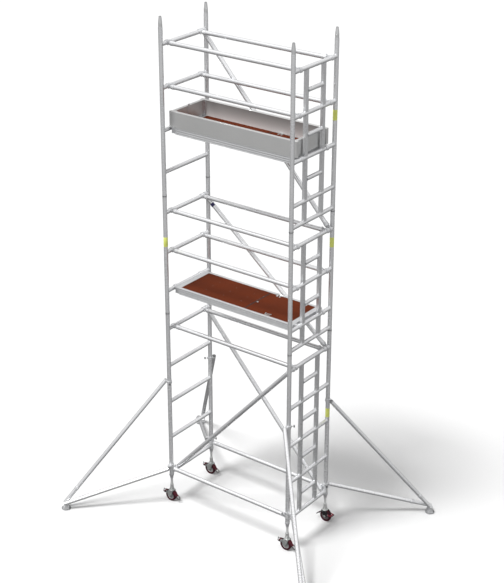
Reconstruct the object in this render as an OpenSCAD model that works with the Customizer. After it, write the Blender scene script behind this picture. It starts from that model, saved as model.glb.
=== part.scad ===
// Mobile tower scaffold: aluminium end frames, hooked braces, two trapdoor decks, four braked
// castors on adjustable legs and four swing-out stabilisers.
// Millimetres, +Z up. Origin on the floor at the middle of the tower. X runs along the bay, the
// ladder frames stand at +X, Y runs across the tower.

/* [Tower plan] */
// Centre distance of the two end frames along the bay
bay_length = 1800; // [1700:10:1900]
// Centre distance of the two uprights of an end frame
frame_width = 800; // [780:5:840]
// Height of the lowest rung above the floor
base_height = 430; // [425:1:440]
// Rung pitch of the frames
rung_pitch = 500; // [495:1:505]

/* [Tubes] */
// Outside diameter of uprights, rails and diagonals
tube_d = 50.8; // [50.2:0.1:51.4]
// Wall thickness of every tube
tube_wall = 2; // [1.8:0.1:2.2]
// Outside diameter of the rungs
rung_d = 48.3; // [47.5:0.1:48.8]
// Centre distance of the two ladder stiles
ladder_width = 320; // [300:5:340]
// Ladder stile section across the tower
stile_wide = 50; // [46:1:54]
// Ladder stile section along the bay
stile_deep = 34; // [30:1:38]

/* [Braces] */
// Distance of the rails from the middle plane of the tower
rail_y = 290; // [285:1:292]
// Distance of the diagonals from the middle plane of the tower
diagonal_y = 345; // [344:1:347]
// Height of the base ledgers above the lowest rung
base_ledger_rise = 52; // [50:1:54]

/* [Platforms] */
// Overall width of a platform
deck_width = 600; // [590:2:606]
// Depth of the platform side beams
beam_depth = 78; // [72:1:90]
// Height of the deck surface above the rung centre
deck_rise = 28; // [27:1:30]
// Length of the deck opening closed by the trapdoor
trap_length = 637; // [601:2:651]
// Height of the toe boards
toe_height = 187; // [167:5:192]

/* [Castors] */
// Wheel diameter
wheel_d = 150; // [140:1:152]
// Wheel tread width
wheel_width = 44; // [38:1:46]
// Outside diameter of the adjustable leg
leg_d = 30; // [28:0.5:32]
// Distance of the wheel axle behind the swivel axis
castor_trail = 15; // [10:1:20]

/* [Stabilisers] */
// Horizontal reach of a stabiliser from its upright to the foot pivot
stab_reach = 1340; // [1250:10:1400]
// Height of the upper clamp above the floor
stab_top_z = 1708; // [1690:2:1720]
// Height of the lower clamp above the floor
stab_low_z = 525; // [524:1:530]
// Outside diameter of the stabiliser tubes
stab_d = 48.3; // [44:0.1:49]

/* [Hidden] */
half_bay = bay_length / 2;
half_width = frame_width / 2;
tube_r = tube_d / 2;
rung_r = rung_d / 2;
upright_end = base_height - 30;
joint_1 = base_height + 4.4 * rung_pitch;
joint_2 = base_height + 7.4 * rung_pitch;
top_rung = base_height + 11 * rung_pitch;
frame_top = top_rung + 195;
bottom_rungs = [0, 1, 2, 3, 4];
middle_rungs = [5, 6, 7];
top_rungs = [8, 9, 10, 11];
spigot_r = tube_r - tube_wall - 0.3;
claw_in = rung_r + 0.15;
claw_wide = 38;
rail_gap = 58;
rail_len = bay_length - 2 * rail_gap;
deck_upper = top_rung - 2 * rung_pitch;
deck_lower = top_rung - 6 * rung_pitch;
beam_len = 1600;
deck_x = 790;
deck_half = deck_width / 2 - 38;
ply = 12;
trap_x0 = deck_x - 3 - trap_length;
hinge_y = deck_half - 6;
hinge_rise = 5;
toe_thick = 38;
toe_reach = 886;
toe_end = 870;
axle_z = wheel_d / 2;
head_z = 190;
clamp_side = tube_r + stab_d / 2 + 4;
foot_side = stab_d / 2 + 2;
foot_z = 86;
weld = 0.05;
$fn = 48;

function rung_z(k) = base_height + k * rung_pitch;

// ---------------------------------------------------------------- placing helpers
// Tube along +Z from the origin.
module pipe(d, len, wall) {
    difference() {
        cylinder(d = d, h = len);
        translate([0, 0, -1]) cylinder(d = d - 2 * wall, h = len + 2);
    }
}

// Turns +Z into +Y.
module along_y() rotate([-90, 0, 0]) children();

// Turns +Z into +X.
module along_x() rotate([0, 90, 0]) children();

// Places children on the four uprights.
module at_uprights() {
    for (sx = [-1, 1], sy = [-1, 1]) translate([sx * half_bay, sy * half_width, 0]) children();
}

// One corner of the tower: sx -1 is the span end, sy -1 is the front.
module at_corner(sx, sy) translate([sx * half_bay, sy * half_width, 0]) children();

// Tube from point p to point q.
module tube_between(p, q, d, wall) {
    v = q - p;
    translate(p) rotate([0, acos(v.z / norm(v)), atan2(v.y, v.x)]) pipe(d, norm(v), wall);
}

// Block given by its two opposite corners.
module block(a, b) translate(a) cube(b - a);

// ---------------------------------------------------------------- end frames
module upright(x, y, z0, z1) translate([x, y, z0]) pipe(tube_d, z1 - z0, tube_wall);

// Full-width rung, coped to the two uprights it is welded to, with a hairline weld seam.
module rung(x, z) {
    difference() {
        translate([x, -half_width, z]) along_y() pipe(rung_d, frame_width, tube_wall);
        for (sy = [-1, 1]) translate([x, sy * half_width, z - 40])
            cylinder(r = tube_r + weld, h = 80);
    }
}

// Short rung between the ladder stiles.
module short_rung(z) {
    len = ladder_width - stile_wide - 2 * weld;
    translate([half_bay, -len / 2, z]) along_y() pipe(rung_d, len, tube_wall);
}

// Stile length between two full rungs, saddled over both.
module stile(y, z0, z1) {
    difference() {
        translate([half_bay - stile_deep / 2, y - stile_wide / 2, z0])
            cube([stile_deep, stile_wide, z1 - z0]);
        translate([half_bay - stile_deep / 2 + 3, y - stile_wide / 2 + 3, z0 - 1])
            cube([stile_deep - 6, stile_wide - 6, z1 - z0 + 2]);
        for (z = [z0, z1])
            translate([half_bay, y - stile_wide, z]) along_y()
                cylinder(r = rung_r + weld, h = 2 * stile_wide);
    }
}

module frame_uprights(x, z0, z1) {
    for (sy = [-1, 1]) upright(x, sy * half_width, z0, z1);
}

module stiles(levels) {
    for (i = [0 : len(levels) - 2], sy = [-1, 1])
        stile(sy * ladder_width / 2, levels[i], levels[i + 1]);
}

module span_frame_bottom() color("silver") {
    frame_uprights(-half_bay, upright_end, joint_1);
    for (k = bottom_rungs) rung(-half_bay, rung_z(k));
}

module span_frame_middle() color("silver") {
    frame_uprights(-half_bay, joint_1, joint_2);
    for (k = middle_rungs) rung(-half_bay, rung_z(k));
}

module span_frame_top() color("silver") {
    frame_uprights(-half_bay, joint_2, frame_top);
    for (k = top_rungs) rung(-half_bay, rung_z(k));
}

module ladder_frame_bottom() color("silver") {
    frame_uprights(half_bay, upright_end, joint_1);
    for (k = bottom_rungs) rung(half_bay, rung_z(k));
    stiles([for (k = bottom_rungs) rung_z(k)]);
    for (k = [0 : 3]) short_rung(rung_z(k + 0.5));
}

module ladder_frame_middle() color("silver") {
    frame_uprights(half_bay, joint_1, joint_2);
    for (k = concat([4.5], middle_rungs)) rung(half_bay, rung_z(k));
    stiles([for (k = concat([4.5], middle_rungs)) rung_z(k)]);
    for (k = [5, 6]) short_rung(rung_z(k + 0.5));
}

module ladder_frame_top() color("silver") {
    frame_uprights(half_bay, joint_2, frame_top);
    for (k = concat([7.5], top_rungs)) rung(half_bay, rung_z(k));
    stiles([for (k = concat([7.5], top_rungs)) rung_z(k)]);
    for (k = [8, 9, 10]) short_rung(rung_z(k + 0.5));
}

// Spigots: a pinned sleeve inside each frame joint and a tapered one in each open top end.
module frame_spigots() color("gainsboro") at_uprights() {
    for (z = [joint_1, joint_2]) translate([0, 0, z - 140]) pipe(2 * spigot_r, 280, 3);
    translate([0, 0, frame_top - 140]) rotate_extrude()
        polygon([[spigot_r - 3, 0], [spigot_r + 0.25, 0], [spigot_r + 0.25, 140], [spigot_r, 140],
                 [spigot_r, 185], [spigot_r - 8, 262], [spigot_r - 11, 262], [spigot_r - 3, 180]]);
}

// Interlock clips: a spring band round the tube with a pin that locks each frame joint.
module interlock_clips() color("dimgray") at_uprights() {
    for (z = [joint_1, joint_2]) translate([0, 0, z + 12]) {
        difference() {
            cylinder(r = tube_r + 2.2, h = 8, center = true);
            cylinder(r = tube_r + 0.1, h = 10, center = true);
            translate([-4, 0, -6]) cube([8, 40, 12]);
        }
        translate([0, -tube_r - 2, 0]) rotate([90, 0, 0]) cylinder(d = 13, h = 6);
    }
}

// ---------------------------------------------------------------- rails and diagonals
module rail_pair(z, y) {
    for (sy = [-1, 1])
        translate([-rail_len / 2, sy * y, z]) along_x() pipe(tube_d, rail_len, tube_wall);
}

module rails_guard_top() color("silver") rail_pair(rung_z(11), rail_y);
module rails_knee_top() color("silver") rail_pair(rung_z(10), rail_y);
module rails_guard_middle() color("silver") rail_pair(rung_z(7), rail_y);
module rails_knee_middle() color("silver") rail_pair(rung_z(6), rail_y);
module rails_lower() color("silver") rail_pair(rung_z(4), rail_y);
module ledgers_base() color("silver") rail_pair(rung_z(0) + base_ledger_rise, half_width);

// Length along a run from rung z0 at -X to rung z1 at +X.
function slope_len(z0, z1) = norm([bay_length, z1 - z0]);

module diagonal(y, z0, z1) {
    translate([-half_bay, y, z0]) rotate([0, -atan2(z1 - z0, bay_length), 0])
        translate([rail_gap, 0, 0]) along_x()
            pipe(tube_d, slope_len(z0, z1) - 2 * rail_gap, tube_wall);
}

module diagonals_back() color("silver") {
    diagonal(diagonal_y, rung_z(11), rung_z(7));
    diagonal(diagonal_y, rung_z(7), rung_z(4));
    diagonal(diagonal_y, rung_z(4), rung_z(0));
}

module diagonal_front() color("silver") diagonal(-diagonal_y, rung_z(0), rung_z(4));

// Puts children, drawn in the hook's own frame with the shank along +X, at both ends of a run.
module run_ends(y, z0, z1) {
    tilt = atan2(z1 - z0, bay_length);
    translate([-half_bay, y, z0]) rotate([0, -tilt, 0])
        let ($mouth = -100 - tilt, $bore = claw_in) children();
    translate([half_bay, y, z1]) rotate([0, -tilt, 0]) mirror([1, 0, 0])
        let ($mouth = -100 + tilt, $bore = claw_in) children();
}

// Every place a brace hooks on: rails and diagonals over rungs, base ledgers round the uprights.
module hook_places() {
    for (k = [4, 6, 7, 10, 11], sy = [-1, 1])
        run_ends(sy * rail_y, rung_z(k), rung_z(k)) children();
    run_ends(diagonal_y, rung_z(11), rung_z(7)) children();
    run_ends(diagonal_y, rung_z(7), rung_z(4)) children();
    run_ends(diagonal_y, rung_z(4), rung_z(0)) children();
    run_ends(-diagonal_y, rung_z(0), rung_z(4)) children();
    for (sx = [-1, 1], sy = [-1, 1])
        translate([sx * half_bay, sy * half_width, rung_z(0) + base_ledger_rise])
            mirror([sx > 0 ? 1 : 0, 0, 0]) rotate([90, 0, 0])
                let ($mouth = 180, $bore = tube_r + 0.15) children();
}

// Claw about the Y axis: an open ring, a shank along +X and, if flange > 0, a tube plug disc.
module claw(bore, mouth, reach, flange) {
    rotate([90, 0, 0]) translate([0, 0, -claw_wide / 2]) linear_extrude(claw_wide) difference() {
        union() {
            circle(r = bore + 9);
            translate([0, -17]) square([reach - flange, 34]);
        }
        circle(r = bore);
        rotate(mouth) translate([0, -0.86 * bore]) square([2 * bore, 1.72 * bore]);
    }
    if (flange > 0) translate([reach - flange - 0.01, 0, 0]) along_x()
        cylinder(d = tube_d, h = flange + 0.01);
}

module brace_hooks() color("lightgray") hook_places() claw($bore, $mouth, rail_gap, 5);

// Spring trigger on the back of each hook's shank.
module brace_triggers() color("gray") hook_places() block([35, -7, 17], [52, 7, 26]);

// ---------------------------------------------------------------- platforms
// Hollow box profile given by two opposite corners, open along the Y axis.
module profile_y(a, b) {
    difference() {
        block(a, b);
        block([a.x + 3, a.y - 1, a.z + 3], [b.x - 3, b.y + 1, b.z - 3]);
    }
}

// Hollow box profile given by two opposite corners, open along the X axis.
module profile_x(a, b) {
    difference() {
        block(a, b);
        block([a.x - 1, a.y + 3, a.z + 3], [b.x + 1, b.y - 3, b.z - 3]);
    }
}

// Side beams with the ledges that carry the boards, end beams and cross members.
module platform_frame(top) {
    inner = deck_half + 1;
    half = beam_len / 2;
    for (m = [0, 1]) mirror([0, m, 0]) {
        profile_x([-half, inner, top - beam_depth], [half, deck_width / 2, top]);
        block([-half, inner - 16, top - ply - 4.3], [half, inner - weld, top - ply - 0.3]);
    }
    for (m = [0, 1]) mirror([m, 0, 0]) {
        profile_y([half + weld, -deck_width / 2, top - 70], [855, deck_width / 2, top]);
        profile_y([half - 34, -deck_half, top - 60], [half, deck_half, top - ply - 4.4]);
        block([deck_x + 1, -deck_half, top - ply - 0.2], [half, deck_half, top]);
    }
    for (x = [-520, -260, 0, trap_x0 - 24])
        profile_y([x - 20, -deck_half - 0.9, top - 60], [x + 20, deck_half + 0.9, top - ply - 4.4]);
}

module platform_frame_upper() color("gainsboro") platform_frame(deck_upper + deck_rise);
module platform_frame_lower() color("gainsboro") platform_frame(deck_lower + deck_rise);

// Fixed plywood board.
module fixed_board(top) {
    block([-deck_x, -deck_half, top - ply], [trap_x0 - 2, deck_half, top]);
}

module deck_upper_ply() color("sienna") fixed_board(deck_upper + deck_rise);
module deck_lower_ply() color("sienna") fixed_board(deck_lower + deck_rise);

handle_x = trap_x0 + trap_length / 2;
handle_y = 38 - deck_half;
hinge_xs = [trap_x0 + 130, trap_x0 + trap_length - 130];

// Hinged plywood board.
module trapdoor(top) {
    block([trap_x0, -deck_half, top - ply], [trap_x0 + trap_length, hinge_y - 0.5, top]);
}

module trapdoor_upper() color("sienna") trapdoor(deck_upper + deck_rise);
module trapdoor_lower() color("sienna") trapdoor(deck_lower + deck_rise);

// Fittings screwed to the hinged board: hinge halves, handle bridge and catch plate.
module trapdoor_fittings(top) {
    z = top + weld;
    for (x = hinge_xs, s = [-1, 1]) difference() {
        union() {
            block([x + s * 20 - 9.5, deck_half - 45, z], [x + s * 20 + 9.5, hinge_y, z + 2]);
            translate([x + s * 20 - 9.5, hinge_y, top + hinge_rise]) along_x()
                cylinder(r = 4.8, h = 19);
        }
        translate([x + s * 20 - 10, hinge_y, top + hinge_rise]) along_x() cylinder(r = 2.6, h = 20);
    }
    for (s = [-1, 1]) translate([handle_x + s * 38 - 3, handle_y - 6, z]) cube([6, 12, 10]);
    translate([handle_x - 38, handle_y, top + 5]) along_x() cylinder(r = 2.5, h = 76);
    translate([trap_x0 + 24, -36, z]) cylinder(d = 24, h = 4);
}

module trapdoor_fittings_upper() color("silver") trapdoor_fittings(deck_upper + deck_rise);
module trapdoor_fittings_lower() color("silver") trapdoor_fittings(deck_lower + deck_rise);

// Lift handle: a bail with two eyes on the bridge pin.
module trapdoor_handle(top) {
    z = top + 5;
    difference() {
        union() {
            for (s = [-1, 1]) {
                translate([handle_x + s * 30 - 3, handle_y, z]) along_x() cylinder(r = 4.6, h = 6);
                block([handle_x + s * 30 - 3, handle_y - 28, z - 3],
                      [handle_x + s * 30 + 3, handle_y, z + 3]);
            }
            block([handle_x - 33, handle_y - 34, z - 3], [handle_x + 33, handle_y - 28, z + 3]);
        }
        translate([handle_x - 34, handle_y, z]) along_x() cylinder(r = 2.6, h = 68);
    }
}

module trapdoor_handle_upper() color("lightgray") trapdoor_handle(deck_upper + deck_rise);
module trapdoor_handle_lower() color("lightgray") trapdoor_handle(deck_lower + deck_rise);

// Fixed hinge halves on the inner faces of the side beams: leaf, middle knuckle and pin.
module trapdoor_hinges() color("gray")
    for (top = [deck_upper + deck_rise, deck_lower + deck_rise], x = hinge_xs) {
        block([x - 30, deck_half - 2.5, top - ply], [x + 30, deck_half + 1 - weld, top - 0.2]);
        block([x - 10, hinge_y, top - 0.3], [x + 10, deck_half - 0.1, top + 2.5]);
        translate([x - 10, hinge_y, top + hinge_rise]) along_x() cylinder(r = 4.8, h = 20);
        translate([x - 30, hinge_y, top + hinge_rise]) along_x() cylinder(r = 2.5, h = 60);
    }

// Hooks that hang each platform on its two rungs.
module platform_hooks() color("lightgray")
    for (z = [deck_upper, deck_lower], m = [0, 1], y = [-235, 235])
        mirror([m, 0, 0]) translate([-half_bay, y, z]) claw(claw_in, -100, 45, 0);

// ---------------------------------------------------------------- toe boards, upper platform
module toe_boards() color("darkgray") {
    base = deck_upper + deck_rise;
    head = base + toe_height;
    inner = deck_width / 2 - toe_thick;
    for (m = [0, 1]) mirror([0, m, 0])
        block([-toe_reach, inner, base], [toe_reach, deck_width / 2, head]);
    for (m = [0, 1]) mirror([m, 0, 0])
        block([toe_end - toe_thick, weld - inner, base + 10], [toe_end, inner - weld, head]);
}

// Corner angles inside the boards and the middle strap with its tab on each end board.
module toe_board_clips() color("gray") for (m = [0, 1]) mirror([m, 0, 0]) {
    base = deck_upper + deck_rise + 10;
    head = deck_upper + deck_rise + toe_height;
    x = toe_end - toe_thick - weld;
    y = deck_width / 2 - toe_thick - weld;
    for (n = [0, 1]) mirror([0, n, 0]) {
        block([x - 32, y - 3, base], [x, y, head]);
        block([x - 3, y - 32, base], [x, y, head]);
    }
    block([x - 6, -34, base], [x, -6, head + 22]);
}

// ---------------------------------------------------------------- castors
// Drawn round the swivel axis with the brake pedal towards -X.
module leg() {
    difference() {
        translate([0, 0, head_z]) cylinder(d = 44, h = 58);
        translate([0, 0, head_z - 1]) cylinder(r = 8.1, h = 40);
    }
    translate([0, 0, head_z + 58]) pipe(leg_d, 520, 3);
}

module leg_nut() {
    r = leg_d / 2 + 0.1;
    top = upright_end - 0.5;
    rotate_extrude() polygon([[r, top - 66], [r + 3, top - 66], [r + 6, top - 40],
                              [r + 14, top - 22], [r + 14, top], [r, top]]);
    for (a = [0 : 60 : 300]) rotate(a) block([r + 11, -4, top - 20], [r + 17, 4, top - 2]);
}

module fork() {
    translate([0, 0, head_z - 26]) cylinder(r = 25, h = 25);
    translate([0, 0, head_z - 1]) cylinder(r = 8, h = 36);
    translate([0, 0, head_z - 32]) cylinder(r = 40, h = 6);
    for (m = [0, 1]) mirror([0, m, 0]) {
        translate([0, 30, 0]) rotate([90, 0, 0]) linear_extrude(4) difference() {
            union() {
                polygon([[-38, head_z - 32], [36, head_z - 32], [22, 110], [4, 62],
                         [-34, 62], [-70, 104], [-70, 120]]);
                translate([-castor_trail, axle_z]) circle(r = 19);
            }
            translate([-castor_trail, axle_z]) circle(r = 6);
            translate([-62, 112]) circle(r = 4);
        }
        translate([-62, 35, 112]) rotate([90, 0, 0]) cylinder(r = 4, h = 9);
        translate([-castor_trail, 30, axle_z]) along_y() cylinder(r = 10, h = 4);
    }
    translate([-castor_trail, -30, axle_z]) along_y() cylinder(r = 6, h = 60);
    translate([-castor_trail, 26, axle_z]) rotate([90, 0, 0]) linear_extrude(52)
        intersection() {
            difference() {
                circle(r = 84);
                circle(r = 80);
            }
            polygon([[0, 0], 120 * [cos(12), sin(12)], 120 * [cos(50), sin(50)],
                     120 * [cos(95), sin(95)]]);
        }
    translate([0, 22, 0]) rotate([90, 0, 0]) linear_extrude(44)
        polygon([[60, 101], [66, 108], [120, 58], [114, 54]]);
}

module wheel() translate([-castor_trail, 0, axle_z]) rotate([90, 0, 0]) rotate_extrude()
    polygon([[6.1, -21], [18, -21], [18, -13], [52, -13], [55, -wheel_width / 2 + 1],
             [68, -wheel_width / 2], [axle_z, -12], [axle_z, 12], [68, wheel_width / 2],
             [55, wheel_width / 2 - 1], [52, 13], [18, 13], [18, 21], [6.1, 21]]);

module pedal() {
    for (m = [0, 1]) mirror([0, m, 0]) translate([0, 34.5, 0]) rotate([90, 0, 0])
        linear_extrude(4) difference() {
            union() {
                translate([-62, 112]) circle(r = 9);
                polygon([[-62, 121], [-98, 112], [-98, 100], [-62, 103]]);
            }
            translate([-62, 112]) circle(r = 4.1);
        }
    translate([0, 34.5, 0]) rotate([90, 0, 0]) linear_extrude(69)
        polygon([[-98, 100], [-98, 112], [-104, 108], [-124, 116], [-128, 110], [-106, 100]]);
}

module castor_leg_fl() color("silver") at_corner(-1, -1) leg();
module castor_leg_fr() color("silver") at_corner(1, -1) leg();
module castor_leg_bl() color("silver") at_corner(-1, 1) leg();
module castor_leg_br() color("silver") at_corner(1, 1) leg();
module leg_nut_fl() color("gray") at_corner(-1, -1) leg_nut();
module leg_nut_fr() color("gray") at_corner(1, -1) leg_nut();
module leg_nut_bl() color("gray") at_corner(-1, 1) leg_nut();
module leg_nut_br() color("gray") at_corner(1, 1) leg_nut();
module castor_fork_fl() color("dimgray") at_corner(-1, -1) fork();
module castor_fork_fr() color("dimgray") at_corner(1, -1) fork();
module castor_fork_bl() color("dimgray") at_corner(-1, 1) fork();
module castor_fork_br() color("dimgray") at_corner(1, 1) rotate(180) fork();
module castor_wheel_fl() color("black") at_corner(-1, -1) wheel();
module castor_wheel_fr() color("black") at_corner(1, -1) wheel();
module castor_wheel_bl() color("black") at_corner(-1, 1) wheel();
module castor_wheel_br() color("black") at_corner(1, 1) rotate(180) wheel();
module brake_pedal_fl() color("darkred") at_corner(-1, -1) pedal();
module brake_pedal_fr() color("darkred") at_corner(1, -1) pedal();
module brake_pedal_bl() color("darkred") at_corner(-1, 1) pedal();
module brake_pedal_br() color("darkred") at_corner(1, 1) rotate(180) pedal();

// ---------------------------------------------------------------- stabilisers
// Drawn round the upright's axis with the arm reaching along +X.
strut_from = [34, -clamp_side, stab_top_z + 2];
strut_to = [stab_reach, -foot_side, foot_z];
arm_from = [42, clamp_side, stab_low_z - 28];
arm_to = [stab_reach, foot_side, foot_z];

module foot_pin(r) translate([stab_reach, -62, foot_z]) along_y() cylinder(r = r, h = 124);

// A tube that runs a little past the foot pin and is drilled for it.
module leg_tube(from, to) {
    past = to + 16 * (to - from) / norm(to - from);
    difference() {
        tube_between(from, past, stab_d, tube_wall);
        foot_pin(6 + weld);
    }
}

// Coupler: ring round the upright, lug to the tube on side s and a T handle on the other side.
module coupler(z, s, from, to) {
    ring = tube_r + 7.6;
    v = to - from;
    difference() {
        union() {
            translate([0, 0, z - 15]) cylinder(r = ring, h = 30);
            block([4, min(s * 12, s * (clamp_side + 8)), z - 15],
                  [48, max(s * 12, s * (clamp_side + 8)), z + 15]);
        }
        translate([0, 0, z - 20]) cylinder(r = tube_r + 0.1, h = 40);
        translate(from - 60 * v / norm(v)) rotate([0, acos(v.z / norm(v)), atan2(v.y, v.x)])
            cylinder(r = stab_d / 2 + weld, h = 200);
    }
    translate([0, -s * (ring - 2), z]) rotate([s * 90, 0, 0]) cylinder(r = 5, h = 32);
    translate([0, -s * (ring + 32), z]) cube([12, 9, 32], center = true);
}

module stabiliser() {
    leg_tube(strut_from, strut_to);
    leg_tube(arm_from, arm_to);
    foot_pin(6);
    coupler(stab_top_z, -1, strut_from, strut_to);
    coupler(stab_low_z, 1, arm_from, arm_to);
}

module stabiliser_foot() {
    translate([stab_reach, 0, 0]) cylinder(r = 58, h = 14);
    for (m = [0, 1]) mirror([0, m, 0]) translate([stab_reach, 58, 0]) rotate([90, 0, 0])
        linear_extrude(5) difference() {
            union() {
                polygon([[-30, 18], [30, 18], [15, foot_z], [-15, foot_z]]);
                translate([0, foot_z]) circle(r = 15);
            }
            translate([0, foot_z]) circle(r = 6.1);
        }
    block([stab_reach - 34, -60, 14], [stab_reach + 34, 60, 18]);
}

module stabiliser_fl() color("silver") at_corner(-1, -1) rotate(225) stabiliser();
module stabiliser_fr() color("silver") at_corner(1, -1) rotate(315) stabiliser();
module stabiliser_bl() color("silver") at_corner(-1, 1) rotate(135) stabiliser();
module stabiliser_br() color("silver") at_corner(1, 1) rotate(45) stabiliser();
module stabiliser_foot_fl() color("dimgray") at_corner(-1, -1) rotate(225) stabiliser_foot();
module stabiliser_foot_fr() color("dimgray") at_corner(1, -1) rotate(315) stabiliser_foot();
module stabiliser_foot_bl() color("dimgray") at_corner(-1, 1) rotate(135) stabiliser_foot();
module stabiliser_foot_br() color("dimgray") at_corner(1, 1) rotate(45) stabiliser_foot();

// ---------------------------------------------------------------- draw
span_frame_bottom();
span_frame_middle();
span_frame_top();
ladder_frame_bottom();
ladder_frame_middle();
ladder_frame_top();
frame_spigots();
interlock_clips();
rails_guard_top();
rails_knee_top();
rails_guard_middle();
rails_knee_middle();
rails_lower();
ledgers_base();
diagonals_back();
diagonal_front();
brace_hooks();
brace_triggers();
platform_frame_upper();
platform_frame_lower();
deck_upper_ply();
deck_lower_ply();
trapdoor_upper();
trapdoor_lower();
trapdoor_handle_upper();
trapdoor_handle_lower();
trapdoor_hinges();
platform_hooks();
trapdoor_fittings_upper();
trapdoor_fittings_lower();
toe_boards();
toe_board_clips();
castor_leg_fl();
castor_leg_fr();
castor_leg_bl();
castor_leg_br();
leg_nut_fl();
leg_nut_fr();
leg_nut_bl();
leg_nut_br();
castor_fork_fl();
castor_fork_fr();
castor_fork_bl();
castor_fork_br();
castor_wheel_fl();
castor_wheel_fr();
castor_wheel_bl();
castor_wheel_br();
brake_pedal_fl();
brake_pedal_fr();
brake_pedal_bl();
brake_pedal_br();
stabiliser_fl();
stabiliser_fr();
stabiliser_bl();
stabiliser_br();
stabiliser_foot_fl();
stabiliser_foot_fr();
stabiliser_foot_bl();
stabiliser_foot_br();
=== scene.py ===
import math

import bmesh
import bpy
from mathutils import Matrix, Vector


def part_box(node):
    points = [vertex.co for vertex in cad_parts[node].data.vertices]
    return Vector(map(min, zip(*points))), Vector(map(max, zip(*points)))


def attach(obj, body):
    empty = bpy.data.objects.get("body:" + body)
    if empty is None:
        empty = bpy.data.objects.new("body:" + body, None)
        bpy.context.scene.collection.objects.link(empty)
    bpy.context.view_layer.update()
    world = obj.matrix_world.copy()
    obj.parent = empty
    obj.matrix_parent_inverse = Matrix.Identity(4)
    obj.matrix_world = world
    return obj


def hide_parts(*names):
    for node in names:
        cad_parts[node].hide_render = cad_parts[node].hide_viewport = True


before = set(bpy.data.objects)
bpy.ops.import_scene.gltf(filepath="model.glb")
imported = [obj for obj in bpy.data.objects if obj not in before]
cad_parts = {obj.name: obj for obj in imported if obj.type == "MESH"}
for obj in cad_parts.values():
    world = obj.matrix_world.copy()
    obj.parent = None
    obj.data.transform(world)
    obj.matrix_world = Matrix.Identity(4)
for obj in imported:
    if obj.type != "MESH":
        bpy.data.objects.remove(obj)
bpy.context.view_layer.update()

# ------------------------------------------------------------------ sizes in millimetres, from the frame
MM = 1000.0


def corners(node):
    """Low and high corner of a CAD node."""
    low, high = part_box(node)
    return low * MM, high * MM


def mid(node):
    """Centre of a CAD node's box."""
    low, high = corners(node)
    return (low + high) / 2


low, high = corners("span_frame_bottom")
TUBE = (high.x - low.x) / 2
BAY = -(low.x + high.x) / 2
WIDE = high.y - TUBE
JOINT_1 = high.z
JOINT_2 = corners("span_frame_middle")[1].z
TUBE_TOP = corners("span_frame_top")[1].z
TOP_RUNG = mid("rails_guard_top").z
PITCH = (TOP_RUNG - mid("rails_lower").z) / 7
RAIL_Y = corners("rails_guard_top")[1].y - TUBE
DIAG_Y = mid("diagonals_back").y
LEDGER_Z = mid("ledgers_base").z
DECKS = {"upper": corners("deck_upper_ply")[1].z, "lower": corners("deck_lower_ply")[1].z}
TOE_TOP = corners("toe_boards")[1].z
RUNG = 24.15    # radius of a rung
STILE_Y, STILE_W, STILE_D = 160.0, 50.0, 34.0    # place, width and depth of the two ladder stiles
# for each corner: its side along X and along Y, and the stabiliser's direction in degrees
CORNERS = {"fl": (-1, -1, 225), "fr": (1, -1, 315), "bl": (-1, 1, 135), "br": (1, 1, 45)}


def level(k):
    """Height of full rung k, counted from 0 at the bottom to 11 at the top."""
    return TOP_RUNG - (11 - k) * PITCH


# ------------------------------------------------------------------ materials
GRAIN_DEPTH = 0.0004    # metres, height of the fine grain in every surface


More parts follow.
